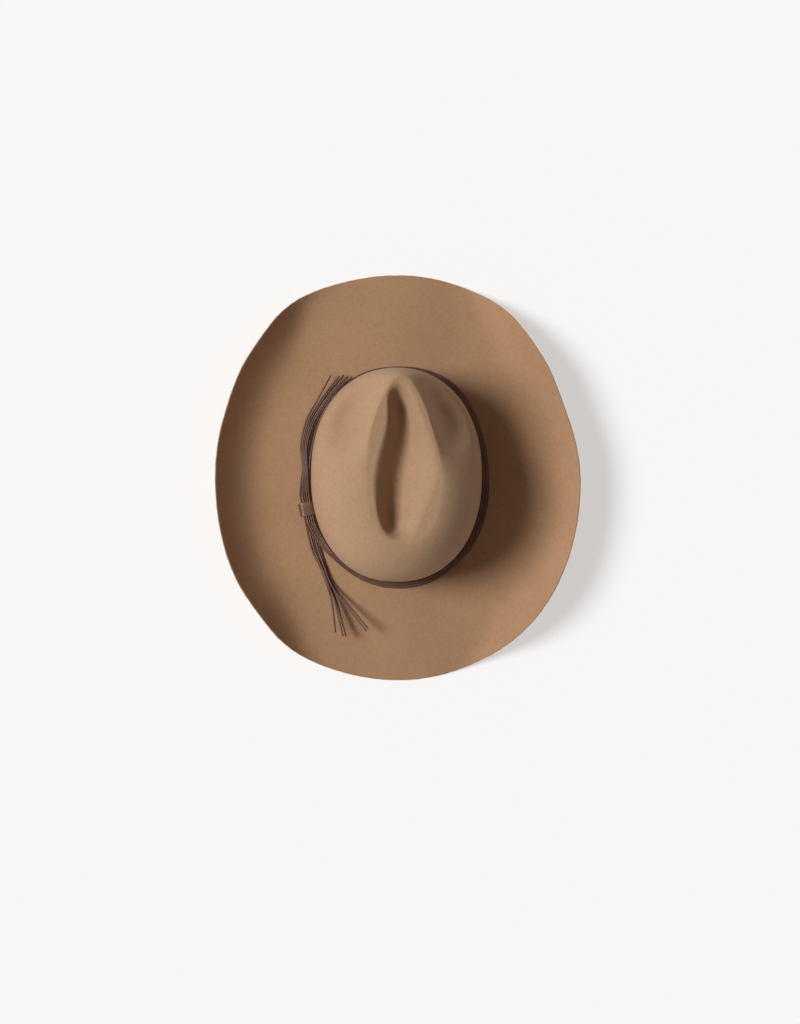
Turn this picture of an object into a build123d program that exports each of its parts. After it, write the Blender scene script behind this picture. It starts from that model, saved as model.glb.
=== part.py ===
"""Wide-brim felt hat with a corded band, in millimetres.

+Z is up, the front of the hat faces -Y and the wearer's left is +X.  The origin lies under the
middle of the hat, on the surface that the brim rests on.
"""

import os
from math import atan2, cos, exp, hypot, pi, radians, sin, sqrt, tan

from build123d import *

os.makedirs("parts", exist_ok=True)

# ---- driving dimensions -------------------------------------------------------------------
BRIM_LENGTH = 408.0
BRIM_WIDTH = 360.0
FELT = 2.2
BREAK_HEIGHT = 19.0  # the fold between brim and crown, above the table
BREAK_RADIUS = 2.5
SIDE_CURL = 29.0  # how far the brim's sides roll up
CURL_WIDTH = 62.0  # how far in from the edge the roll starts

CROWN_HALF_WIDTH = 84.5
CROWN_HALF_LENGTH = 105.0
CROWN_CENTRE = (1.5, -1.5)
CROWN_HEIGHT = 104.0  # above the break
CREASE_DEPTH = 23.0
PINCH_DEPTH = 24.0

SWEATBAND_HEIGHT = 38.0
SWEATBAND_THICKNESS = 1.1
TAPE_THICKNESS = 0.4
REED_DIAMETER = 1.6

CORD = 2.0
CORD_PITCH = 2.1  # from one cord's middle to the next
CORDS = 5
GAP = 0.3  # daylight between pieces on different bodies

KEEPER_LENGTH = 14.0
KEEPER_LEATHER = 1.1
KEEPER_POINT = (83.2, 30.0)  # on the crown's outline, where the keeper sits beside it
KEEPER_TURN = 11.2  # degrees that the keeper's outward side faces round from +X
KEEPER_STANDOFF = 0.9
KEEPER_FOOT = BREAK_HEIGHT + 0.9
STRAIGHT = 15.0  # half of the cords' straight stretch, so that the keeper can slide
EASE = 3.5  # how much of each end of that stretch the cords' first bend may take

RING_POINTS = 48


# ---- the shape of the felt ----------------------------------------------------------------
def smooth(value):
    """0 below 0, 1 above 1 and a soft step between."""
    value = max(0.0, min(1.0, value))
    return value * value * (3 - 2 * value)


def bump(value, middle, width):
    return exp(-(((value - middle) / width) ** 2))


def crown_oval(angle, grow=0.0):
    """The crown's outline at the break, a slightly squared oval, grown outwards by grow."""
    squareness = 2 / 2.2
    c, s = cos(angle), sin(angle)
    x = CROWN_CENTRE[0] + (CROWN_HALF_WIDTH + grow) * abs(c) ** squareness * (1 if c > 0 else -1)
    y = CROWN_CENTRE[1] + (CROWN_HALF_LENGTH + grow) * abs(s) ** squareness * (1 if s > 0 else -1)
    return x, y


def rim(angle):
    """The cut edge of the brim: an oval with the unevenness of a hand-shaped brim."""
    x, y = crown_oval(angle)
    way = atan2(y, x)
    radius = 1 / hypot(cos(way) / (BRIM_WIDTH / 2), sin(way) / (BRIM_LENGTH / 2))
    turn = way % (2 * pi) * 180 / pi
    radius += 1.7 * (1 - cos(4 * way))
    radius += 4.5 * bump(turn, 300, 14) + 3.0 * bump(turn, 60, 14)
    radius -= 7.5 * bump(turn, 207, 17) + 2.5 * bump(turn, 335, 12)
    radius -= 3.5 * bump(turn, 226, 10) + 2.5 * bump(turn, 315, 10) + 2.0 * bump(turn, 45, 9)
    return radius * cos(way), radius * sin(way)


def brim_height(angle, out):
    """Height of the brim's upper face; out runs from 0 at the break to 1 at the cut edge."""
    side = abs(cos(angle))
    reach = smooth((side - 0.15) / 0.8)
    curl = max(0.0, 1 - (1 - out) * 95 / (CURL_WIDTH * max(reach, 0.01))) ** 2.8
    roll = SIDE_CURL * reach * smooth(reach / 0.85) * curl
    droop = (BREAK_HEIGHT - FELT) * (1 - smooth(1.25 * side**2)) * out**1.3
    belly = 2.0 * side**2 * sin(pi * min(1.0, 1.1 * out))
    return BREAK_HEIGHT - droop + roll - belly


def brim_point(angle, out):
    x0, y0 = crown_oval(angle, BREAK_RADIUS)
    x1, y1 = rim(angle)
    return Vector(x0 + (x1 - x0) * out, y0 + (y1 - y0) * out, brim_height(angle, out))


def ridge(angle):
    """The teardrop ridge round the top of the crown, narrow at the front."""
    c, s = cos(angle), sin(angle)
    middle = -3.5 - 3.0 * smooth((s + 0.45) / 0.8)
    x = middle + (35 + 8 * s) * abs(c) ** (1.0 - 0.1 * s) * (1 if c > 0 else -1)
    return x, -15 + 80 * s


def top_height(y):
    return CROWN_HEIGHT - 0.03 * y


def wall_point(angle, rise):
    """The crown's wall; rise runs from 0 at the break to 1 on the ridge."""
    part = sin(rise * pi / 2) ** 0.8
    inward = 1 - (1 - part**4) ** (2 / 3)
    x0, y0 = crown_oval(angle)
    x1, y1 = ridge(angle)
    x, y = x0 + (x1 - x0) * inward, y0 + (y1 - y0) * inward
    front = bump(sin(angle), -0.5, 0.36) * smooth(abs(cos(angle)) * 3 - 0.6)
    hollow = PINCH_DEPTH * front * sin(pi * inward**1.2)
    return Vector(x, y, BREAK_HEIGHT + BREAK_RADIUS + top_height(y1) * part - hollow)


def top_point(angle, rise):
    """The top inside the ridge with its lengthwise crease; rise runs from 0 to 1 at the middle."""
    x1, y1 = ridge(angle)
    x, y = x1 * (1 - rise), -10 + (y1 + 10) * (1 - rise)
    middle = 0.3 + 5.7 * sin((y + 2) / 40 * pi / 2)
    near = 12 + 12 * bump(y, -12, 42)
    far = 14 + 26 * bump(y, 5, 48)
    depth = CREASE_DEPTH * smooth((y + 95) / 34) * smooth((76 - y) / 40)
    width = near if x > middle else far
    crease = depth * cos(pi / 2 * min(1.0, abs(x - middle) / width)) ** 2
    crease *= smooth(rise / 0.2)
    return Vector(x, y, BREAK_HEIGHT + BREAK_RADIUS + top_height(y) - crease)


def break_point(angle, rise):
    """The small fold at the break; rise runs from 0 on the brim to 1 on the wall."""
    turn = rise * pi / 2
    x, y = crown_oval(angle, BREAK_RADIUS * (1 - sin(turn)))
    return Vector(x, y, BREAK_HEIGHT + BREAK_RADIUS * (1 - cos(turn)))


def felt_point(angle, station):
    """The felt's upper face: stations 0-1 brim from its edge, 1-2 break, 2-3 wall, 3-4 top."""
    if station <= 1:
        return brim_point(angle, 1 - station)
    if station <= 2:
        return break_point(angle, station - 1)
    if station <= 3:
        return wall_point(angle, station - 2)
    return top_point(angle, station - 3)


def felt_ring(station, depth, flat=False):
    """A closed curve on the felt's upper face, or depth below it, at one station."""
    step = 0.002
    points = []
    for k in range(RING_POINTS):
        angle = 2 * pi * k / RING_POINTS
        here = felt_point(angle, station)
        along = felt_point(angle + step, station) - felt_point(angle - step, station)
        up = felt_point(angle, min(3.99, station + step)) - felt_point(angle, max(0, station - step))
        points.append(here - along.cross(up).normalized() * depth)
    if flat:
        level = sum(p.Z for p in points) / len(points)
        points = [Vector(p.X, p.Y, level) for p in points]
    return Wire([Edge.make_spline(points, periodic=True)])


BRIM_STATIONS = [0.01, 0.05, 0.12, 0.22, 0.34, 0.48, 0.64, 0.80, 0.95]
BREAK_STATIONS = [1.15, 1.5, 1.85]
WALL_STATIONS = [2.04, 2.15, 2.28, 2.4, 2.5, 2.6, 2.68, 2.76, 2.84, 2.92, 2.98]
TOP_STATIONS = [3.08, 3.16, 3.24, 3.34, 3.45, 3.57, 3.69, 3.8, 3.9, 3.96]


def make_felt():
    stations = BRIM_STATIONS + BREAK_STATIONS + WALL_STATIONS + TOP_STATIONS
    last = stations[-1]
    outer = [felt_ring(s, 0.0, flat=s == last) for s in stations]
    inner = [felt_ring(s, FELT, flat=s == last) for s in stations]
    edge = felt_ring(0.0, FELT / 2)
    with BuildPart() as felt_body:
        add(Solid.make_loft(outer[::-1] + [edge] + inner, ruled=True))
    return felt_body


# ---- the pieces inside the crown ----------------------------------------------------------
def crown_section(height, inset):
    """Points round the crown at one height, inset from the felt's outer face."""
    part = max(0.0, height - BREAK_HEIGHT - BREAK_RADIUS) / CROWN_HEIGHT
    inward = 1 - (1 - part**4) ** (2 / 3)
    points = []
    for k in range(RING_POINTS):
        x0, y0 = crown_oval(2 * pi * k / RING_POINTS, -inset)
        x1, y1 = ridge(2 * pi * k / RING_POINTS)
        points.append((x0 + (x1 - x0) * inward, y0 + (y1 - y0) * inward))
    return points


def hoop(low, high, inset, thickness):
    """A band that follows the inside of the crown from one height to another."""
    with BuildPart() as ring:
        for cut, over, mode in ((inset, 0.0, Mode.ADD), (inset + thickness, 1.0, Mode.SUBTRACT)):
            for height in (low - over, high + over):
                with BuildSketch(Plane.XY.offset(height)):
                    with BuildLine():
                        Spline(*crown_section(height, cut), periodic=True)
                    make_face()
            loft(mode=mode)
    return ring


def hoop_places(height, inset, count, first=0.0, last=1.0):
    """Even places round the inside of the crown, each turned along it."""
    places = []
    for k in range(count):
        angle = 2 * pi * (first + (last - first) * (k + 0.5) / count)
        x, y = crown_oval(angle, -inset)
        ahead_x, ahead_y = crown_oval(angle + 0.01, -inset)
        behind_x, behind_y = crown_oval(angle - 0.01, -inset)
        turn = atan2(ahead_y - behind_y, ahead_x - behind_x) * 180 / pi
        places.append(Location((x, y, height), (0, 0, turn)))
    return places


def make_sweatband_stitching(inset):
    """One row of thread stitches along the foot of the sweatband."""
    with BuildPart() as stitches:
        with Locations(hoop_places(BREAK_HEIGHT + 5.0, inset + 0.5, 110)):
            Box(3.4, 0.45, 0.45)
    return stitches


def make_seam_stitching(inset):
    """The upright stitches that join the sweatband's two ends at the back of the hat."""
    with BuildPart() as stitches:
        for k in range(6):
            height = BREAK_HEIGHT + 17 + 3.6 * k
            _, y = crown_section(height, inset + 0.55)[RING_POINTS // 4]
            for side in (-1, 1):
                with Locations((CROWN_CENTRE[0] + 2.2 * side, y, height)):
                    Box(0.45, 0.3, 2.6)
    return stitches


def make_bow(inset):
    """The small ribbon bow at the back of the sweatband: two loops, two ends and a knot."""
    back = CROWN_CENTRE[1] + CROWN_HALF_LENGTH - inset
    height = BREAK_HEIGHT + 11.5
    loops = Plane((CROWN_CENTRE[0], back - 1.3, height), x_dir=(1, 0, 0), z_dir=(0, -1, 0))
    knot = Plane((CROWN_CENTRE[0], back - 0.35, height), x_dir=(1, 0, 0), z_dir=(0, -1, 0))
    with BuildPart() as bow:
        with BuildSketch(loops):
            with Locations((-5.5, 1.0), (5.5, 1.0)):
                Ellipse(5.0, 2.6)
            with Locations((-5.9, 1.0), (5.9, 1.0)):
                Ellipse(3.4, 1.3, mode=Mode.SUBTRACT)
            with Locations(Location((-4.0, -2.6), 38), Location((4.0, -2.6), -38)):
                Rectangle(8.0, 2.6)
        extrude(amount=1.2)
        with BuildSketch(knot):
            RectangleRounded(3.8, 4.6, 1.2)
        extrude(amount=2.6)
    return bow


# ---- the corded band ----------------------------------------------------------------------
def keeper_place(along, out, height):
    """A place by the keeper: along the crown to the rear, out from it, and above the table."""
    turn = radians(KEEPER_TURN)
    x = KEEPER_POINT[0] - along * sin(turn) + out * cos(turn)
    y = KEEPER_POINT[1] + along * cos(turn) + out * sin(turn)
    return x, y, height


CORD_INNER = KEEPER_STANDOFF + KEEPER_LEATHER + GAP + CORD / 2
LOWER_LAYER = KEEPER_FOOT + KEEPER_LEATHER + GAP + CORD / 2
UPPER_LAYER = LOWER_LAYER + CORD_PITCH
STACK_OUT = CORD / 2 + GAP + 0.8  # the route's arcs pass 0.8 inside its points


def flat_out(cord):
    """How far out from the crown a cord lies inside the keeper; cord 0 is the outermost."""
    return CORD_INNER + (CORDS - 1 - cord) * CORD_PITCH


def round_place(degrees, cord, layer, mix, rank=0):
    """A point of the band: a row of cords that turns from flat, at mix 0, to leaning on the crown.

    Cord 0 is the outermost of the flat row in the keeper and the lowest of the leaning stack.
    Rank 1 is a second row that lies against the first.
    """
    angle = radians(degrees)
    behind = (1 - cos(angle + radians(20))) / 2
    lean = radians(90 + (6 + (36 + 12 * sin(5 * angle)) * behind - 90) * mix)
    top_out = CORD_INNER + (STACK_OUT - CORD_INNER) * mix
    out = top_out + (CORDS - 1 - cord) * CORD_PITCH * sin(lean) + rank * CORD_PITCH * cos(lean)
    foot_out = top_out + (CORDS - 1) * CORD_PITCH * sin(lean)
    resting = brim_height(angle, max(0.0, foot_out - BREAK_RADIUS) / 95) + CORD / 2 + GAP + 0.1
    height = layer + (resting - layer) * mix + (cord * cos(lean) + rank * sin(lean)) * CORD_PITCH
    x, y = crown_oval(angle, out)
    return x, y, height


def loop_route(cord):
    """Once round the crown: through the keeper forwards, round, and through it again on top."""
    out = flat_out(cord)
    points = [keeper_place(STRAIGHT, out, LOWER_LAYER), keeper_place(-STRAIGHT, out, LOWER_LAYER)]
    points.append(round_place(3, cord, LOWER_LAYER, 0.35))
    points.append(round_place(-4, cord, LOWER_LAYER, 0.7))
    for degrees in range(-12, -312, -13):
        points.append(round_place(degrees, cord, LOWER_LAYER, 1.0))
    points.append(round_place(-322, cord, UPPER_LAYER, 0.75))
    points.append(round_place(-331, cord, UPPER_LAYER, 0.35))
    points.append(keeper_place(STRAIGHT, out, UPPER_LAYER))
    points.append(keeper_place(-STRAIGHT, out, UPPER_LAYER))
    return points


def bend_radii(points, ease=None):
    """The largest tangent arc at each corner that 0.45 of its shorter run allows.

    With ease, the first and the last corner take no more than that much of their runs.
    """
    radii = []
    for before, here, after in zip(points, points[1:], points[2:]):
        run_in, run_out = Vector(*here) - Vector(*before), Vector(*after) - Vector(*here)
        taken = 0.45 * min(run_in.length, run_out.length)
        if ease and (before is points[0] or after is points[-1]):
            taken = ease
        radii.append(taken / tan(radians(run_in.get_angle(run_out)) / 2))
    return radii


def make_cord(name, points, ease=None):
    radii = bend_radii(points, ease)
    with BuildPart() as cord:
        with BuildLine():
            route = FilletPolyline(*points, radius=radii)
        with BuildSketch(Plane(points[0], z_dir=route % 0)):
            Circle(CORD / 2)
        sweep()
    expected = pi * (CORD / 2) ** 2 * route.length
    print(f"{name}: length {route.length:.1f}, tightest bend {min(radii):.1f}, "
          f"volume/section*length {cord.part.volume / expected:.4f}")
    return cord


# Where the tails run together: the middle cord's x, y and height, the way that the outer side
# faces in degrees, and then, in front, how far the row leans from upright in degrees and, behind,
# how far the flat row is squeezed into a bundle.
FRONT_ROWS = [(95.0, -30.0, 23.6, -7, 50), (88.6, -56.5, 23.0, -26, 74)]
REAR_BUNDLE = [(85.6, 57.6, 20.35, 18, 0.0), (81.8, 73.6, 19.9, 18, 0.12),
               (74.8, 89.6, 19.8, 16, 0.8), (69.2, 105.6, 20.2, 13, 1.0)]
# Each tail's own points after its bundle has parted.
FRONT_ENDS = [
    [(77.6, -82.0, 23.8), (67.0, -102.0, 26.0)],
    [(74.4, -83.0, 23.6), (58.8, -100.8, 24.8)],
    [(71.2, -84.0, 23.0), (54.2, -102.0, 23.4)],
    [(68.0, -84.6, 24.8), (49.8, -100.6, 26.2)],
    [(65.8, -85.4, 27.6), (45.8, -99.8, 29.0)],
]
REAR_ENDS = [
    [(66.4, 121.0, 21.6), (64.0, 138.0, 24.0), (62.4, 154.5, 27.0)],
    [(63.6, 121.6, 23.8), (59.2, 140.0, 26.2), (54.8, 158.0, 29.4)],
    [(62.2, 121.0, 20.8), (57.0, 140.0, 21.0), (52.0, 159.0, 22.4)],
    [(59.2, 119.2, 24.2), (46.4, 134.4, 28.0), (31.6, 152.8, 32.0)],
    [(57.0, 118.2, 22.4), (44.6, 132.8, 26.2), (29.6, 150.8, 30.4)],
]


def row_place(middle, cord):
    """A cord's place in a leaning row, the outermost cord lowest."""
    x, y, height, faces, lean = middle
    step = ((CORDS - 1) / 2 - cord) * CORD_PITCH
    out = step * sin(radians(lean))
    level = height - step * cos(radians(lean))
    return x + out * cos(radians(faces)), y + out * sin(radians(faces)), level


def bundle_place(middle, cord):
    """A cord's place in a bundle, from a flat row, squeeze 0, to three below and two above."""
    x, y, height, faces, squeeze = middle
    across = CORD_PITCH * (1 - squeeze / 2)
    lift = sqrt(CORD_PITCH**2 - across**2) * (cord % 2)
    out = across * ((CORDS - 1) / 2 - cord)
    return x + out * cos(radians(faces)), y + out * sin(radians(faces)), height + lift


def front_route(start, cord):
    """A front tail: over its own band cord out of the keeper, then bowing out to its tip."""
    beside = [round_place(3, cord, LOWER_LAYER, 0.35, 1), round_place(-4, cord, LOWER_LAYER, 0.7, 1)]
    return [start] + beside + [row_place(row, cord) for row in FRONT_ROWS] + FRONT_ENDS[cord]


def rear_route(start, cord):
    return [start] + [bundle_place(b, cord) for b in REAR_BUNDLE] + REAR_ENDS[cord]


def make_keeper():
    """The leather sleeve that holds both layers of cords together, with its stitched flange."""
    width = 2 * (GAP + KEEPER_LEATHER) + (CORDS - 1) * CORD_PITCH + CORD
    height = 2 * (GAP + KEEPER_LEATHER) + CORD_PITCH + CORD
    front = keeper_place(-KEEPER_LENGTH / 2, KEEPER_STANDOFF + width / 2, KEEPER_FOOT + height / 2)
    face = Plane(front, x_dir=(cos(radians(KEEPER_TURN)), sin(radians(KEEPER_TURN)), 0),
                 z_dir=(-sin(radians(KEEPER_TURN)), cos(radians(KEEPER_TURN)), 0))
    with BuildPart() as keeper:
        with BuildSketch(face):
            RectangleRounded(width, height, 2.4)
            RectangleRounded(width - 2 * KEEPER_LEATHER, height - 2 * KEEPER_LEATHER, 1.3,
                             mode=Mode.SUBTRACT)
        extrude(amount=KEEPER_LENGTH)
    return keeper, width, height


def make_keeper_lacing(width, height):
    """Four stitches over the keeper's outer edge."""
    out = KEEPER_STANDOFF + width + 0.35
    with BuildPart() as lacing:
        for k in range(4):
            x, y, z = keeper_place(-4.8 + 3.2 * k, out, KEEPER_FOOT + height / 2)
            with Locations(Location((x, y, z), (0, 0, KEEPER_TURN))):
                Box(0.6, 0.9, 3.6)
    return lacing


def save(piece, name):
    piece.part.label = name
    export_step(piece.part, f"parts/{name}.step")
    print(f"{name}: {piece.part.volume:.0f} mm3, {len(piece.part.solids())} solid(s)")


def main():
    save(make_felt(), "felt_body")

    sweat_inset = FELT + 1.0
    inner_face = sweat_inset + SWEATBAND_THICKNESS
    foot = BREAK_HEIGHT + 1.4
    save(hoop(foot, foot + SWEATBAND_HEIGHT, sweat_inset, SWEATBAND_THICKNESS), "sweatband")
    save(hoop(foot - REED_DIAMETER - 0.1, foot - 0.1, sweat_inset, REED_DIAMETER), "sweatband_reed")
    save(hoop(foot + 0.6, foot + 9.0, FELT + 0.3, TAPE_THICKNESS), "reed_tape")
    save(make_sweatband_stitching(inner_face), "sweatband_stitching")
    save(make_seam_stitching(inner_face), "sweatband_seam_stitching")
    save(make_bow(inner_face), "sweatband_bow")

    for cord in range(CORDS):
        loop = loop_route(cord)
        save(make_cord(f"band_cord_{cord + 1}", loop, EASE), f"band_cord_{cord + 1}")
        front, rear = f"front_tail_{cord + 1}", f"rear_tail_{cord + 1}"
        save(make_cord(front, front_route(loop[-1], cord)), front)
        save(make_cord(rear, rear_route(loop[0], cord)), rear)

    keeper, width, height = make_keeper()
    save(keeper, "keeper")
    save(make_keeper_lacing(width, height), "keeper_lacing")


main()
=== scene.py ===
"""A wide-brim felt hat with a corded band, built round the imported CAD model.  Metres throughout."""

import math

import bmesh
import bpy
import numpy as np
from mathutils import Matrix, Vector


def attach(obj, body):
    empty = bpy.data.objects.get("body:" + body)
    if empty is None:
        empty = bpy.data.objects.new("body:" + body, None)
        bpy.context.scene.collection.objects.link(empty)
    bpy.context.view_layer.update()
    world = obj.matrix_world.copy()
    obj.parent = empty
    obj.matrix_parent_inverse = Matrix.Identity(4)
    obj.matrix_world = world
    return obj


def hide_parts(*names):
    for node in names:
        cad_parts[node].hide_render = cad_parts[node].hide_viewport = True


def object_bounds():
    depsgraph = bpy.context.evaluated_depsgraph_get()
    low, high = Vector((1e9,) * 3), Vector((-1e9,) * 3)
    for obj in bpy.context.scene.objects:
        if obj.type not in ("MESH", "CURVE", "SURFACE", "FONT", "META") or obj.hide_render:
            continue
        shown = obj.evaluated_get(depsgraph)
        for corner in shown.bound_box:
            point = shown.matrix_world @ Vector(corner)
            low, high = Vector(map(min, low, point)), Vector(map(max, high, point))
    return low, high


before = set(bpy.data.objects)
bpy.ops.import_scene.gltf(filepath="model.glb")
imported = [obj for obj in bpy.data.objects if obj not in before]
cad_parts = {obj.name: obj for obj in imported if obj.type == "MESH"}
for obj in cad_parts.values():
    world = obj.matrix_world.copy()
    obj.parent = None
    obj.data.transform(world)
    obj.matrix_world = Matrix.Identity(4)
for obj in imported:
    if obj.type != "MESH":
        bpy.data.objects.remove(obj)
cad_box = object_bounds()

MM = 0.001

# ---- sizes that the CAD model is made with, in millimetres ----------------------------------
BRIM_LENGTH, BRIM_WIDTH = 408.0, 360.0
FELT = 2.2
BREAK_HEIGHT, BREAK_RADIUS = 19.0, 2.5
BRIM_REACH = 95.0  # from the break to the cut edge
SIDE_CURL = 29.0
CURL_WIDTH = 62.0
CROWN_HALF = (84.5, 105.0)
CROWN_CENTRE = (1.5, -1.5)
CROWN_HEIGHT = 104.0
CREASE_DEPTH = 23.0
PINCH_DEPTH = 24.0

CORD, CORD_PITCH, CORDS = 2.0, 2.1, 5
GAP = 0.3

KEEPER_LENGTH, KEEPER_LEATHER = 14.0, 1.1
KEEPER_POINT, KEEPER_TURN = (83.2, 30.0), math.radians(11.2)
KEEPER_STANDOFF = 0.9
KEEPER_FOOT = BREAK_HEIGHT + 0.9
STRAIGHT = 15.0


# ---- small helpers --------------------------------------------------------------------------
def smooth(value):
    value = np.clip(value, 0.0, 1.0)
    return value * value * (3 - 2 * value)


def bump(value, middle, width):
    return np.exp(-(((value - middle) / width) ** 2))


def ripple(angle, along, seed):
    """Smooth, repeatable unevenness: a few waves round and along a surface, about -1 to 1."""
    waves = np.random.default_rng(seed)
    total = np.zeros(np.broadcast(angle, along).shape)
    for count in (2, 3, 5, 7, 9):
        phase, slope, lag = waves.uniform(0, 2 * np.pi), waves.uniform(2, 7), waves.uniform(0, 6)
        total = total + np.sin(count * angle + phase) * np.cos(slope * along + lag) / count**0.6
    return total / 2.2


def make_mesh(name, vertices, faces):
    """A mesh object from points in millimetres."""
    mesh = bpy.data.meshes.new(name)
    mesh.from_pydata((np.asarray(vertices) * MM).tolist(), [], [list(f) for f in faces])
    mesh.update()
    mesh.validate()
    mesh.shade_smooth()
    piece = bpy.data.objects.new(name, mesh)
    bpy.context.scene.collection.objects.link(piece)
    return piece


def grid_faces(rows, columns, closed_rows=False):
    """Quads of a grid whose columns run round and meet themselves."""
    faces = []
    for r in range(rows if closed_rows else rows - 1):
        low, high = r * columns, (r + 1) % rows * columns
        for c in range(columns):
            n = (c + 1) % columns
            faces.append((low + c, low + n, high + n, high + c))
    return faces


def finish_piece(piece, body, material, node):
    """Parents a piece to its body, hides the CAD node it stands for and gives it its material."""
    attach(piece, body)
    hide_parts(node)
    piece.data.materials.clear()
    piece.data.materials.append(material)


# ---- the shape of the felt, as in the CAD model ----------------------------------------------
def signed_power(value, power):
    return np.sign(value) * np.abs(value) ** power


def crown_oval(angle, grow=0.0):
    x = CROWN_CENTRE[0] + (CROWN_HALF[0] + grow) * signed_power(np.cos(angle), 2 / 2.2)
    y = CROWN_CENTRE[1] + (CROWN_HALF[1] + grow) * signed_power(np.sin(angle), 2 / 2.2)
    return x, y


def rim(angle):
    x, y = crown_oval(angle)
    way = np.arctan2(y, x)
    radius = 1 / np.hypot(np.cos(way) / (BRIM_WIDTH / 2), np.sin(way) / (BRIM_LENGTH / 2))
    turn = np.degrees(way % (2 * np.pi))
    radius = radius + 1.7 * (1 - np.cos(4 * way))
    radius = radius + 4.5 * bump(turn, 300, 14) + 3.0 * bump(turn, 60, 14)
    radius = radius - 7.5 * bump(turn, 207, 17) - 2.5 * bump(turn, 335, 12)
    radius = radius - 3.5 * bump(turn, 226, 10) - 2.5 * bump(turn, 315, 10) - 2.0 * bump(turn, 45, 9)
    return radius * np.cos(way), radius * np.sin(way)


def brim_height(angle, out):
    side = np.abs(np.cos(angle))
    reach = smooth((side - 0.15) / 0.8)
    inside = (1 - out) * BRIM_REACH / (CURL_WIDTH * np.maximum(reach, 0.01))
    curl = np.clip(1 - inside, 0.0, None) ** 2.8
    roll = SIDE_CURL * reach * smooth(reach / 0.85) * curl
    droop = (BREAK_HEIGHT - FELT) * (1 - smooth(1.25 * side**2)) * out**1.3
    belly = 2.0 * side**2 * np.sin(np.pi * np.minimum(1.0, 1.1 * out))
    return BREAK_HEIGHT - droop + roll - belly


def ridge(angle):
    c, s = np.cos(angle), np.sin(angle)
    middle = -3.5 - 3.0 * smooth((s + 0.45) / 0.8)
    return middle + (35 + 8 * s) * np.sign(c) * np.abs(c) ** (1.0 - 0.1 * s), -15 + 80 * s


def top_height(y):
    return CROWN_HEIGHT - 0.03 * y


def felt_points(angle, station):
    """Points of the felt's upper face: stations 0-1 brim, 1-2 break, 2-3 wall, 3-4 top."""
    if station <= 1:
        out = 1 - station
        x0, y0 = crown_oval(angle, BREAK_RADIUS)
        x1, y1 = rim(angle)
        x, y, z = x0 + (x1 - x0) * out, y0 + (y1 - y0) * out, brim_height(angle, out)
        z = z + 0.5 * ripple(angle, out, 3) * smooth(out * 2)
    elif station <= 2:
        turn = (station - 1) * np.pi / 2
        x, y = crown_oval(angle, BREAK_RADIUS * (1 - np.sin(turn)))
        z = BREAK_HEIGHT + BREAK_RADIUS * (1 - np.cos(turn)) + 0 * angle
    elif station <= 3:
        part = np.sin((station - 2) * np.pi / 2) ** 0.8
        inward = 1 - (1 - part**4) ** (2 / 3)
        x0, y0 = crown_oval(angle)
        x1, y1 = ridge(angle)
        x, y = x0 + (x1 - x0) * inward, y0 + (y1 - y0) * inward
        front = bump(np.sin(angle), -0.5, 0.36) * smooth(np.abs(np.cos(angle)) * 3 - 0.6)
        hollow = PINCH_DEPTH * front * np.sin(np.pi * inward**1.2)
        z = BREAK_HEIGHT + BREAK_RADIUS + top_height(y1) * part - hollow
    else:
        rise = station - 3
        x1, y1 = ridge(angle)
        x, y = x1 * (1 - rise), -10 + (y1 + 10) * (1 - rise)
        middle = 0.3 + 5.7 * np.sin((y + 2) / 40 * np.pi / 2)
        near = 12 + 12 * bump(y, -12, 42)
        far = 14 + 26 * bump(y, 5, 48)
        width = np.where(x > middle, near, far)
        depth = CREASE_DEPTH * smooth((y + 95) / 34) * smooth((76 - y) / 40)
        crease = depth * np.cos(np.pi / 2 * np.minimum(1.0, np.abs(x - middle) / width)) ** 2
        z = BREAK_HEIGHT + BREAK_RADIUS + top_height(y) - crease * smooth(rise / 0.2)
    return np.stack([x, y, z + 0 * x], axis=-1)


# ---- camera ---------------------------------------------------------------------------------
VIEW_DISTANCE = 2.2
VIEW_HEIGHT = 1.024  # how much of the floor the picture's long side shows

camera_data = bpy.data.cameras.new("camera")
camera_data.sensor_width = 36.0
camera_data.lens = 36.0 * VIEW_DISTANCE / VIEW_HEIGHT
camera = bpy.data.objects.new("camera", camera_data)
camera.location = (-0.002, 0.0345, VIEW_DISTANCE + BREAK_HEIGHT * MM)
camera.rotation_euler = (0, 0, math.pi)
bpy.context.scene.collection.objects.link(camera)
bpy.context.scene.camera = camera


# ---- cord routes, as in the CAD model -------------------------------------------------------
def keeper_place(along, out, height):
    x = KEEPER_POINT[0] - along * math.sin(KEEPER_TURN) + out * math.cos(KEEPER_TURN)
    y = KEEPER_POINT[1] + along * math.cos(KEEPER_TURN) + out * math.sin(KEEPER_TURN)
    return x, y, height


CORD_INNER = KEEPER_STANDOFF + KEEPER_LEATHER + GAP + CORD / 2
LOWER_LAYER = KEEPER_FOOT + KEEPER_LEATHER + GAP + CORD / 2
UPPER_LAYER = LOWER_LAYER + CORD_PITCH
STACK_OUT = CORD / 2 + GAP + 0.8


def flat_out(cord):
    return CORD_INNER + (CORDS - 1 - cord) * CORD_PITCH


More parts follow.
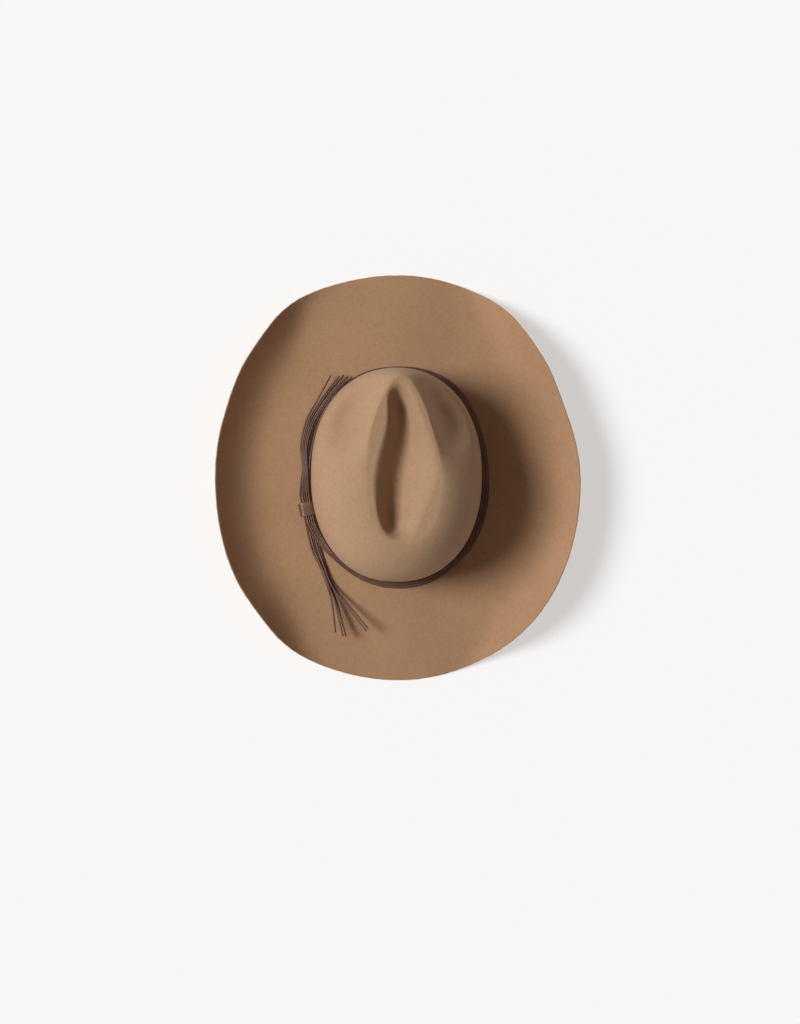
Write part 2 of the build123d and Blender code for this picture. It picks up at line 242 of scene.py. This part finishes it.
def round_place(degrees, cord, layer, mix, rank=0):
    """A point of the band: a row of cords that turns from flat, at mix 0, to leaning at mix 1."""
    angle = math.radians(degrees)
    behind = (1 - math.cos(angle + math.radians(20))) / 2
    lean = math.radians(90 + (6 + (36 + 12 * math.sin(5 * angle)) * behind - 90) * mix)
    top_out = CORD_INNER + (STACK_OUT - CORD_INNER) * mix
    out = top_out + (CORDS - 1 - cord) * CORD_PITCH * math.sin(lean)
    out += rank * CORD_PITCH * math.cos(lean)
    foot_out = top_out + (CORDS - 1) * CORD_PITCH * math.sin(lean)
    on_brim = float(brim_height(angle, max(0.0, foot_out - BREAK_RADIUS) / BRIM_REACH))
    resting = on_brim + CORD / 2 + GAP + 0.1
    height = layer + (resting - layer) * mix
    height += (cord * math.cos(lean) + rank * math.sin(lean)) * CORD_PITCH
    x, y = crown_oval(angle, out)
    return float(x), float(y), height


def loop_route(cord):
    out = flat_out(cord)
    points = [keeper_place(STRAIGHT, out, LOWER_LAYER), keeper_place(4 - STRAIGHT, out, LOWER_LAYER)]
    points.append(keeper_place(-STRAIGHT, out, LOWER_LAYER))
    points.append(round_place(3, cord, LOWER_LAYER, 0.35))
    points.append(round_place(-4, cord, LOWER_LAYER, 0.7))
    for degrees in range(-12, -312, -13):
        points.append(round_place(degrees, cord, LOWER_LAYER, 1.0))
    points.append(round_place(-322, cord, UPPER_LAYER, 0.75))
    points.append(round_place(-331, cord, UPPER_LAYER, 0.35))
    points.append(keeper_place(STRAIGHT, out, UPPER_LAYER))
    points.append(keeper_place(STRAIGHT - 4, out, UPPER_LAYER))
    points.append(keeper_place(-STRAIGHT, out, UPPER_LAYER))
    return points


# The tails' rows, bundles and ends, the same as in the CAD model.
FRONT_ROWS = [(95.0, -30.0, 23.6, -7, 50), (88.6, -56.5, 23.0, -26, 74)]
REAR_BUNDLE = [(85.6, 57.6, 20.35, 18, 0.0), (81.8, 73.6, 19.9, 18, 0.12),
               (74.8, 89.6, 19.8, 16, 0.8), (69.2, 105.6, 20.2, 13, 1.0)]
FRONT_ENDS = [
    [(77.6, -82.0, 23.8), (67.0, -102.0, 26.0)],
    [(74.4, -83.0, 23.6), (58.8, -100.8, 24.8)],
    [(71.2, -84.0, 23.0), (54.2, -102.0, 23.4)],
    [(68.0, -84.6, 24.8), (49.8, -100.6, 26.2)],
    [(65.8, -85.4, 27.6), (45.8, -99.8, 29.0)],
]
REAR_ENDS = [
    [(66.4, 121.0, 21.6), (64.0, 138.0, 24.0), (62.4, 154.5, 27.0)],
    [(63.6, 121.6, 23.8), (59.2, 140.0, 26.2), (54.8, 158.0, 29.4)],
    [(62.2, 121.0, 20.8), (57.0, 140.0, 21.0), (52.0, 159.0, 22.4)],
    [(59.2, 119.2, 24.2), (46.4, 134.4, 28.0), (31.6, 152.8, 32.0)],
    [(57.0, 118.2, 22.4), (44.6, 132.8, 26.2), (29.6, 150.8, 30.4)],
]


def row_place(middle, cord):
    """A cord's place in a leaning row, the outermost cord lowest."""
    x, y, height, faces, lean = middle
    step = ((CORDS - 1) / 2 - cord) * CORD_PITCH
    out = step * math.sin(math.radians(lean))
    level = height - step * math.cos(math.radians(lean))
    return x + out * math.cos(math.radians(faces)), y + out * math.sin(math.radians(faces)), level


def bundle_place(middle, cord):
    """A cord's place in a bundle, from a flat row, squeeze 0, to three below and two above."""
    x, y, height, faces, squeeze = middle
    across = CORD_PITCH * (1 - squeeze / 2)
    level = height + math.sqrt(CORD_PITCH**2 - across**2) * (cord % 2)
    out = across * ((CORDS - 1) / 2 - cord)
    return x + out * math.cos(math.radians(faces)), y + out * math.sin(math.radians(faces)), level


def front_route(start, cord):
    beside = [round_place(3, cord, LOWER_LAYER, 0.35, 1), round_place(-4, cord, LOWER_LAYER, 0.7, 1)]
    return [start] + beside + [row_place(row, cord) for row in FRONT_ROWS] + FRONT_ENDS[cord]


def rear_route(start, cord):
    return [start] + [bundle_place(b, cord) for b in REAR_BUNDLE] + REAR_ENDS[cord]


def nurbs_line(points, spacing):
    """Even points, in millimetres, along the NURBS spline whose control points are given."""
    curve = bpy.data.curves.new("route", "CURVE")
    curve.dimensions = "3D"
    curve.resolution_u = 24
    spline = curve.splines.new("NURBS")
    spline.points.add(len(points) - 1)
    for place, point in zip(spline.points, points):
        place.co = (*point, 1.0)
    spline.order_u = 3
    spline.use_endpoint_u = True
    holder = bpy.data.objects.new("route", curve)
    mesh = bpy.data.meshes.new_from_object(holder)
    line = np.array([v.co[:] for v in mesh.vertices])
    bpy.data.objects.remove(holder)
    bpy.data.curves.remove(curve)
    bpy.data.meshes.remove(mesh)
    run = np.concatenate([[0], np.cumsum(np.linalg.norm(np.diff(line, axis=0), axis=1))])
    steps = np.linspace(0, run[-1], int(run[-1] / spacing) + 1)
    return np.stack([np.interp(steps, run, line[:, k]) for k in range(3)], axis=1)


TWIST_PITCH = 5.4  # one whole turn of a cord's three plies
PLY_RADIUS, PLY_OFFSET = 0.52, 0.48  # of the cord's radius
END_BULGE = 0.25
AROUND = 18
TAIL_SPACING, BAND_SPACING = 0.45, 0.5  # between the rings of a rope


def rope_mesh(name, line, phase):
    """A three-ply twisted cord along a line, closed at both ends."""
    ahead = np.gradient(line, axis=0)
    ahead /= np.linalg.norm(ahead, axis=1)[:, None]
    up = np.tile([0.0, 0.0, 1.0], (len(line), 1))
    side = np.cross(up, ahead)
    side /= np.linalg.norm(side, axis=1)[:, None]
    up = np.cross(ahead, side)
    run = np.arange(len(line)) * np.linalg.norm(line[1] - line[0])
    around = np.arange(AROUND) * 2 * np.pi / AROUND
    turn = around[None, :] + 0 * run[:, None]
    twist = phase + 2 * np.pi * run / TWIST_PITCH + 0.35 * np.sin(run / 23.0 + phase)
    from_ply = (turn - twist[:, None] + np.pi / 3) % (2 * np.pi / 3) - np.pi / 3
    reach = np.sqrt(PLY_RADIUS**2 - (PLY_OFFSET * np.sin(from_ply)) ** 2)
    radius = CORD / 2 * (PLY_OFFSET * np.cos(from_ply) + reach)
    rings = (
        line[:, None, :]
        + side[:, None, :] * (np.cos(turn) * radius)[..., None]
        + up[:, None, :] * (np.sin(turn) * radius)[..., None]
    )
    vertices = [*rings.reshape(-1, 3), line[0] - ahead[0] * END_BULGE, line[-1] + ahead[-1] * END_BULGE]
    faces = grid_faces(len(line), AROUND)
    first, last = len(vertices) - 2, len(vertices) - 1
    base = (len(line) - 1) * AROUND
    for c in range(AROUND):
        n = (c + 1) % AROUND
        faces.append((n, c, first))
        faces.append((base + c, base + n, last))
    return make_mesh(name, vertices, faces)


def make_free_cord(node, route, phase, material):
    """One loose end of a cord, from the keeper to its cut tip."""
    line = nurbs_line(route, TAIL_SPACING)
    piece = rope_mesh(f"{node}_rope", line, phase)
    finish_piece(piece, "band", material, node)


# ---- materials ------------------------------------------------------------------------------
def new_material(name, roughness):
    material = bpy.data.materials.new(name)
    material.use_nodes = True
    nodes = material.node_tree.nodes
    shader = nodes["Principled BSDF"]
    shader.inputs["Roughness"].default_value = roughness
    return material, nodes, material.node_tree.links, shader


def noise(nodes, links, scale, detail=4.0, roughness=0.55, stretch=None):
    coords = nodes.new("ShaderNodeTexCoord")
    texture = nodes.new("ShaderNodeTexNoise")
    texture.inputs["Scale"].default_value = scale
    texture.inputs["Detail"].default_value = detail
    texture.inputs["Roughness"].default_value = roughness
    if stretch:
        mapping = nodes.new("ShaderNodeMapping")
        mapping.inputs["Scale"].default_value = stretch
        links.new(coords.outputs["Object"], mapping.inputs["Vector"])
        links.new(mapping.outputs["Vector"], texture.inputs["Vector"])
    else:
        links.new(coords.outputs["Object"], texture.inputs["Vector"])
    return texture.outputs["Fac"]


def ramp(nodes, links, factor, *stops):
    node = nodes.new("ShaderNodeValToRGB")
    elements = node.color_ramp.elements
    while len(elements) < len(stops):
        elements.new(0.5)
    for element, (place, colour) in zip(elements, stops):
        element.position = place
        element.color = (*colour, 1.0)
    links.new(factor, node.inputs["Fac"])
    return node.outputs["Color"]


def multiply(nodes, links, first, second):
    node = nodes.new("ShaderNodeMix")
    node.data_type = "RGBA"
    node.blend_type = "MULTIPLY"
    node.inputs["Factor"].default_value = 1.0
    links.new(first, node.inputs["A"])
    links.new(second, node.inputs["B"])
    return node.outputs["Result"]


def add_bump(nodes, links, shader, layers):
    """Chains bump layers, each (height output, strength, distance in metres)."""
    normal = None
    for height, strength, distance in layers:
        node = nodes.new("ShaderNodeBump")
        node.inputs["Strength"].default_value = strength
        node.inputs["Distance"].default_value = distance
        links.new(height, node.inputs["Height"])
        if normal:
            links.new(normal, node.inputs["Normal"])
        normal = node.outputs["Normal"]
    links.new(normal, shader.inputs["Normal"])


def painted_crown_highlight(nodes, links):
    """Painted highlight: the felt is made a little paler and greyer towards the crown's top than on the
    brim, standing in for the lit crown's washed-out highlights.
    """
    coords = nodes.new("ShaderNodeTexCoord")
    parts = nodes.new("ShaderNodeSeparateXYZ")
    links.new(coords.outputs["Object"], parts.inputs["Vector"])
    share = nodes.new("ShaderNodeMapRange")
    share.inputs["From Min"].default_value = 0.04
    share.inputs["From Max"].default_value = 0.12
    links.new(parts.outputs["Z"], share.inputs["Value"])
    return ramp(nodes, links, share.outputs["Result"],
                (0.0, (1.0, 1.0, 1.0)), (1.0, (1.05, 1.13, 1.20)))


def felt_material():
    material, nodes, links, shader = new_material("felt", 0.95)
    shader.inputs["Specular IOR Level"].default_value = 0.4
    shader.inputs["Sheen Weight"].default_value = 0.07
    shader.inputs["Sheen Roughness"].default_value = 0.6
    shader.inputs["Sheen Tint"].default_value = (0.95, 0.80, 0.65, 1.0)
    cloudy = ramp(nodes, links, noise(nodes, links, 9.0, 3.0),
                  (0.30, (0.343, 0.198, 0.108)), (0.70, (0.387, 0.228, 0.127)))
    mottled = ramp(nodes, links, noise(nodes, links, 260.0, 5.0, 0.65),
                   (0.30, (0.93, 0.925, 0.92)), (0.70, (1.06, 1.06, 1.06)))
    fibres = ramp(nodes, links, noise(nodes, links, 1500.0, 3.0, 0.7),
                  (0.30, (0.90, 0.90, 0.90)), (0.72, (1.09, 1.085, 1.08)))
    specks = ramp(nodes, links, noise(nodes, links, 620.0, 2.0, 0.5),
                  (0.22, (0.62, 0.55, 0.50)), (0.31, (1.0, 1.0, 1.0)))
    colour = multiply(nodes, links, cloudy, mottled)
    colour = multiply(nodes, links, colour, fibres)
    colour = multiply(nodes, links, colour, specks)
    # painted highlight: paler, greyer felt higher up the crown
    colour = multiply(nodes, links, colour, painted_crown_highlight(nodes, links))
    links.new(colour, shader.inputs["Base Color"])
    add_bump(nodes, links, shader, [
        (noise(nodes, links, 190.0, 4.0), 0.18, 0.0008),
        (noise(nodes, links, 1400.0, 4.0, 0.7), 0.5, 0.0003),
    ])
    return material


def cord_material(name, shade):
    material, nodes, links, shader = new_material(name, 0.45)
    shader.inputs["Coat Weight"].default_value = 0.2
    shader.inputs["Coat Roughness"].default_value = 0.35
    base = ramp(nodes, links, noise(nodes, links, 60.0, 4.0),
                (0.3, (0.072 * shade, 0.033 * shade, 0.020 * shade)),
                (0.7, (0.135 * shade, 0.064 * shade, 0.040 * shade)))
    wear = ramp(nodes, links, noise(nodes, links, 900.0, 3.0, 0.7),
                (0.3, (0.8, 0.8, 0.8)), (0.75, (1.35, 1.3, 1.25)))
    links.new(multiply(nodes, links, base, wear), shader.inputs["Base Color"])
    add_bump(nodes, links, shader, [(noise(nodes, links, 1800.0, 3.0), 0.4, 0.0002)])
    return material


def leather_material(name, dark, light, roughness, grain=700.0):
    material, nodes, links, shader = new_material(name, roughness)
    base = ramp(nodes, links, noise(nodes, links, 45.0, 5.0), (0.3, dark), (0.7, light))
    coords = nodes.new("ShaderNodeTexCoord")
    cells = nodes.new("ShaderNodeTexVoronoi")
    cells.inputs["Scale"].default_value = grain
    links.new(coords.outputs["Object"], cells.inputs["Vector"])
    pores = ramp(nodes, links, cells.outputs["Distance"],
                 (0.0, (0.82, 0.80, 0.78)), (0.5, (1.06, 1.05, 1.04)))
    links.new(multiply(nodes, links, base, pores), shader.inputs["Base Color"])
    add_bump(nodes, links, shader, [
        (cells.outputs["Distance"], 0.35, 0.0003),
        (noise(nodes, links, 300.0, 4.0), 0.25, 0.0005),
    ])
    return material


def woven_material(name, dark, light, roughness, threads, sheen):
    """Cloth with two crossed sets of fine threads."""
    material, nodes, links, shader = new_material(name, roughness)
    shader.inputs["Sheen Weight"].default_value = sheen
    heights = []
    for stretch in ((threads, threads * 0.12, threads * 0.12), (threads * 0.12, threads, threads)):
        heights.append(noise(nodes, links, 1.0, 2.0, 0.5, stretch))
    base = ramp(nodes, links, heights[0], (0.35, dark), (0.65, light))
    cross = ramp(nodes, links, heights[1], (0.3, (0.88, 0.88, 0.88)), (0.7, (1.08, 1.08, 1.08)))
    links.new(multiply(nodes, links, base, cross), shader.inputs["Base Color"])
    add_bump(nodes, links, shader, [(heights[0], 0.3, 0.0002), (heights[1], 0.3, 0.0002)])
    return material


FELT_LOOK = felt_material()
CORD_SHADES = (1.0, 1.45, 0.8, 1.3, 0.9)
CORD_LOOKS = [cord_material(f"cord_{k + 1}", shade) for k, shade in enumerate(CORD_SHADES)]
KEEPER_LOOK = leather_material("keeper_leather", (0.115, 0.058, 0.034), (0.190, 0.100, 0.058), 0.40)
LACE_LOOK = leather_material("lace", (0.05, 0.024, 0.015), (0.085, 0.042, 0.026), 0.5, 1200.0)
SWEAT_LOOK = leather_material("sweatband_leather", (0.22, 0.105, 0.050), (0.31, 0.160, 0.080), 0.45)
REED_LOOK = leather_material("reed", (0.20, 0.10, 0.05), (0.27, 0.14, 0.07), 0.5)
TAPE_LOOK = woven_material("cotton_tape", (0.30, 0.22, 0.14), (0.42, 0.32, 0.21), 0.9, 1500.0, 0.2)
THREAD_LOOK = woven_material("thread", (0.42, 0.30, 0.18), (0.58, 0.44, 0.28), 0.7, 2500.0, 0.1)
RIBBON_LOOK = woven_material("ribbon", (0.050, 0.028, 0.018), (0.085, 0.048, 0.030), 0.6, 1800.0, 0.3)


# ---- the cords ------------------------------------------------------------------------------
for index in range(CORDS):
    loop = loop_route(index)
    front, rear = f"front_tail_{index + 1}", f"rear_tail_{index + 1}"
    make_free_cord(front, front_route(loop[-1], index), 1.3 * index, CORD_LOOKS[index])
    make_free_cord(rear, rear_route(loop[0], index), 0.9 * index + 2, CORD_LOOKS[index])

for index in range(CORDS):
    line = nurbs_line(loop_route(index), BAND_SPACING)
    rope = rope_mesh(f"band_cord_{index + 1}_rope", line, 1.1 * index)
    finish_piece(rope, "band", CORD_LOOKS[index], f"band_cord_{index + 1}")


# ---- the keeper -----------------------------------------------------------------------------
KEEPER_WIDTH = 2 * (GAP + KEEPER_LEATHER) + (CORDS - 1) * CORD_PITCH + CORD
KEEPER_HEIGHT = 2 * (GAP + KEEPER_LEATHER) + CORD_PITCH + CORD
STITCHES = [-4.8 + 3.2 * k for k in range(4)]  # places along the keeper


def keeper_point(along, out, level):
    """A point from the keeper's middle: along the cords, outwards and up."""
    x, y, z = keeper_place(along, KEEPER_STANDOFF + KEEPER_WIDTH / 2 + out, KEEPER_FOOT + level)
    return x, y, z + KEEPER_HEIGHT / 2


def rounded_section(half_width, half_height, power, count=72):
    angle = np.arange(count) * 2 * np.pi / count
    return np.stack([half_width * signed_power(np.cos(angle), 2 / power),
                     half_height * signed_power(np.sin(angle), 2 / power)], axis=1)


def merge(shapes):
    """Joins (vertices, faces) shapes into one."""
    vertices, faces = [], []
    for points, polygons in shapes:
        base = len(vertices)
        vertices += [tuple(p) for p in points]
        faces += [tuple(base + i for i in polygon) for polygon in polygons]
    return vertices, faces


def sleeve_shape():
    """The leather sleeve: a rounded tube of leather with softened ends and a slight dome."""
    outer = rounded_section(KEEPER_WIDTH / 2, KEEPER_HEIGHT / 2, 3.2)
    inner = rounded_section(KEEPER_WIDTH / 2 - KEEPER_LEATHER, KEEPER_HEIGHT / 2 - KEEPER_LEATHER, 5.0)
    half = KEEPER_LENGTH / 2
    runs = [(a, 0.0) for a in np.linspace(-half + 0.35, half - 0.35, 18)]
    runs += [(half - 0.1, 0.1), (half, 0.35), (half, 0.65), (half - 0.1, 0.9)]
    runs += [(a, 1.0) for a in np.linspace(half - 0.35, -half + 0.35, 8)]
    runs += [(-half + 0.1, 0.9), (-half, 0.65), (-half, 0.35), (-half + 0.1, 0.1)]
    points = []
    for along, share in runs:
        section = outer * (1 - share) + inner * share
        puff = 0.22 * (1 - share) * np.cos(along / half * np.pi / 2)
        for out, level in section:
            crease = 0.06 * (1 - share) * math.sin(out * 1.9 + along * 0.35)
            run = along + 0.12 * math.sin(out * 0.8)
            points.append(keeper_point(run, out, level * (1 + puff / 6) + crease))
    return points, grid_faces(len(runs), len(outer), closed_rows=True)


def seam_shape():
    """The two pressed edges of the leather that stand out along the sleeve's outer side."""
    half, root = KEEPER_LENGTH / 2 - 0.3, KEEPER_WIDTH / 2 - 0.35
    outline = rounded_section(1.0, 1.0, 4.0, 28)
    runs = np.concatenate([[-1.0, -0.99, -0.96], np.linspace(-0.9, 0.9, 36), [0.96, 0.99, 1.0]])
    points = []
    for run in runs:
        taper = max(0.25, 1 - max(0.0, abs(run) - 0.94) * 9)
        notch = 0.0
        for place in STITCHES:
            notch += 0.28 * bump(run * half, place, 0.45)
        for across, up in outline:
            out = root + 0.95 * (1 + across) * taper - notch * (1 + across) / 2
            points.append(keeper_point(run * half, out, up * (0.85 - 0.3 * notch) * taper))
    faces = grid_faces(len(runs), len(outline))
    for base, order in ((0, 1), ((len(runs) - 1) * len(outline), -1)):
        faces.append(tuple(base + k for k in range(len(outline)))[::order])
    return points, faces


LACE_RADIUS, LACE_AROUND = 0.36, 10


def stitch_shape(along):
    """One slanting stitch of lace, from the sleeve's top over the seam to its underside."""
    root = KEEPER_WIDTH / 2
    above = [(-0.75, -1.0, 1.9), (-0.5, 0.0, 1.45), (-0.3, 0.9, 1.05), (-0.1, 1.5, 0.5)]
    below = [(-shift, out, -level) for shift, out, level in above[::-1]]
    line = np.array([*above, (0.0, 1.65, 0.0), *below])
    places = np.linspace(0, len(line) - 1, 33)
    line = np.stack([np.interp(places, range(len(line)), line[:, k]) for k in range(3)], axis=1)
    points = []
    for k, (shift, out, level) in enumerate(line):
        ahead = line[min(k + 1, len(line) - 1)] - line[max(k - 1, 0)]
        ahead /= np.linalg.norm(ahead)
        side = np.cross(ahead, (1.0, 0.0, 0.0))
        side /= np.linalg.norm(side)
        across = np.cross(side, ahead)
        for turn in np.arange(LACE_AROUND) * 2 * np.pi / LACE_AROUND:
            offset = LACE_RADIUS * (math.cos(turn) * side + math.sin(turn) * across)
            place = (along + shift, root + out, level) + offset
            points.append(keeper_point(*place))
    faces = grid_faces(len(line), LACE_AROUND)
    faces.append(tuple(range(LACE_AROUND)))
    faces.append(tuple((len(line) - 1) * LACE_AROUND + k for k in range(LACE_AROUND))[::-1])
    return points, faces


def face_outwards(piece):
    """Makes every closed part of a mesh face outwards."""
    shape = bmesh.new()
    shape.from_mesh(piece.data)
    bmesh.ops.recalc_face_normals(shape, faces=shape.faces)
    shape.to_mesh(piece.data)
    shape.free()


sleeve = make_mesh("keeper_sleeve", *merge([sleeve_shape(), seam_shape()]))
face_outwards(sleeve)
finish_piece(sleeve, "keeper", KEEPER_LOOK, "keeper")
lace = make_mesh("keeper_stitches", *merge([stitch_shape(place) for place in STITCHES]))
face_outwards(lace)
finish_piece(lace, "keeper", LACE_LOOK, "keeper_lacing")


# ---- the felt -------------------------------------------------------------------------------
FELT_AROUND = 384
EDGE_FELT = 1.1  # the felt's pressed and rounded edge


def felt_ring(station, depth):
    """A ring of points on the upper face, or depth below it."""
    angle = np.arange(FELT_AROUND) * 2 * np.pi / FELT_AROUND
    here = felt_points(angle, station)
    if not depth:
        return here
    step = 0.003
    along = felt_points(angle + step, station) - felt_points(angle - step, station)
    up = felt_points(angle, min(3.97, station + step)) - felt_points(angle, max(0.0, station - step))
    normal = np.cross(along, up)
    normal /= np.linalg.norm(normal, axis=1)[:, None]
    return here - normal * depth


def make_felt():
    brim = np.linspace(0.006, 0.98, 46)
    wall = 2 + np.linspace(0.02, 0.985, 38)
    top = 3 + np.linspace(0.02, 0.97, 34)
    upper = [*brim, 1.1, 1.3, 1.5, 1.7, 1.9, *wall, *top]
    lower = [0.006, 0.015, 0.03, *brim[2::2], 1.2, 1.5, 1.8, *wall[::2], *top[::2]]
    rings = [felt_ring(s, 0.0) for s in upper[::-1]]
    edge_angle = np.arange(FELT_AROUND) * 2 * np.pi / FELT_AROUND
    fray = 0.12 * np.sin(edge_angle * 61) * np.sin(edge_angle * 23) + 0.08 * np.sin(edge_angle * 113)
    for share in (0.12, 0.35, 0.65, 0.88):
        ring = felt_ring(0.0, EDGE_FELT * share)
        away = ring[:, :2] / np.linalg.norm(ring[:, :2], axis=1)[:, None]
        ring[:, :2] += away * fray[:, None]
        rings.append(ring)
    rings += [felt_ring(s, EDGE_FELT + (FELT - EDGE_FELT) * smooth(s / 0.08)) for s in lower]
    points = np.concatenate(rings)
    vertices = [*points, rings[0].mean(axis=0), rings[-1].mean(axis=0)]
    faces = grid_faces(len(rings), FELT_AROUND)
    top_middle, under_middle = len(vertices) - 2, len(vertices) - 1
    base = (len(rings) - 1) * FELT_AROUND
    for c in range(FELT_AROUND):
        n = (c + 1) % FELT_AROUND
        faces.append((n, c, top_middle))
        faces.append((base + c, base + n, under_middle))
    felt = make_mesh("felt_shell", vertices, faces)
    finish_piece(felt, "hat", FELT_LOOK, "felt_body")


make_felt()


# ---- what lies inside the crown -------------------------------------------------------------
def crown_ring(height, inset, count, change=0.0):
    """Points round the inside of the crown at one height, inset from the felt's outer face."""
    angle = np.arange(count) * 2 * np.pi / count
    part = max(0.0, height - BREAK_HEIGHT - BREAK_RADIUS) / CROWN_HEIGHT
    inward = 1 - (1 - part**4) ** (2 / 3)
    x0, y0 = crown_oval(angle, -(inset + change))
    x1, y1 = ridge(angle)
    z = np.full(count, float(height))
    return np.stack([x0 + (x1 - x0) * inward, y0 + (y1 - y0) * inward, z], axis=-1)


def hoop_mesh(name, outline, count=240, wave=None):
    """A hoop whose section is a closed outline of (inset, height) points."""
    angle = np.arange(count) * 2 * np.pi / count
    rings = []
    for inset, height in outline:
        change, lift = wave(angle, inset, height) if wave else (0.0, 0.0)
        ring = crown_ring(height, inset, count, change)
        ring[:, 2] += lift
        rings.append(ring)
    return make_mesh(name, np.concatenate(rings), grid_faces(len(rings), count, closed_rows=True))


def make_sweatband():
    foot, top = BREAK_HEIGHT + 1.4, BREAK_HEIGHT + 39.4
    outer, inner = FELT + 1.0, FELT + 2.1
    heights = np.linspace(foot + 0.6, top - 0.4, 12)
    outline = [(outer, h) for h in heights]
    outline += [(outer + 0.15, top - 0.08), (outer + 0.55, top), (inner - 0.15, top - 0.08)]
    outline += [(inner, h) for h in heights[::-1]]
    outline += [(inner - 0.2, foot + 0.1), (outer + 0.55, foot), (outer + 0.2, foot + 0.1)]

    def wave(angle, inset, height):
        part = (height - foot) / (top - foot)
        return 0.18 * np.sin(angle * 11 + 1) * part, 0.35 * np.sin(angle * 7) * part**3

    band = hoop_mesh("sweatband_leather", outline, 300, wave)
    finish_piece(band, "hat", SWEAT_LOOK, "sweatband")


def round_outline(inset, height, radius, count=12):
    turns = [2 * math.pi * k / count for k in range(count)]
    return [(inset - radius * math.cos(t), height + radius * math.sin(t)) for t in turns]


def make_reed_and_tape():
    reed = hoop_mesh("reed_in_welt", round_outline(FELT + 1.8, BREAK_HEIGHT + 0.5, 0.8))
    finish_piece(reed, "hat", REED_LOOK, "sweatband_reed")
    low, high = BREAK_HEIGHT + 2.0, BREAK_HEIGHT + 10.4
    sides = np.linspace(low, high, 6)
    outline = [(FELT + 0.3, h) for h in sides] + [(FELT + 0.7, h) for h in sides[::-1]]
    tape = hoop_mesh("reed_tape_cloth", outline)
    finish_piece(tape, "hat", TAPE_LOOK, "reed_tape")


make_sweatband()
make_reed_and_tape()
for node, look in (
    ("sweatband_stitching", THREAD_LOOK),
    ("sweatband_seam_stitching", THREAD_LOOK),
    ("sweatband_bow", RIBBON_LOOK),
):
    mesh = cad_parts[node].data
    mesh.materials.clear()
    mesh.materials.append(look)


# ---- floor and light ------------------------------------------------------------------------
def make_floor():
    bpy.ops.mesh.primitive_plane_add(size=60)
    floor = bpy.context.object
    floor.name = "floor"
    floor.location = (0, 0, cad_box[0].z - 0.0002)
    material, nodes, links, shader = new_material("floor", 0.9)
    shader.inputs["Base Color"].default_value = (0.45, 0.45, 0.45, 1.0)
    shader.inputs["Specular IOR Level"].default_value = 0.1
    shader.inputs["Emission Color"].default_value = (1.0, 1.0, 1.0, 1.0)
    shader.inputs["Emission Strength"].default_value = 0.52
    floor.data.materials.append(material)


KEY_AZIMUTH, KEY_ELEVATION, KEY_STRENGTH = -8, 46, 3.15  # degrees, degrees, W/m2


def make_light():
    """A large, distant, soft key from the wearer's left and a warm fill from all round."""
    data = bpy.data.lights.new("key", "SUN")
    data.energy = KEY_STRENGTH
    data.angle = math.radians(24)
    key = bpy.data.objects.new("key", data)
    key.rotation_euler = (0, math.radians(90 - KEY_ELEVATION), math.radians(KEY_AZIMUTH))
    bpy.context.scene.collection.objects.link(key)
    world = bpy.data.worlds.new("studio")
    world.use_nodes = True
    world.node_tree.nodes["Background"].inputs["Color"].default_value = (1.0, 0.86, 0.76, 1.0)
    world.node_tree.nodes["Background"].inputs["Strength"].default_value = 0.21
    bpy.context.scene.world = world
    bpy.context.scene.view_settings.view_transform = "Standard"


make_floor()
make_light()
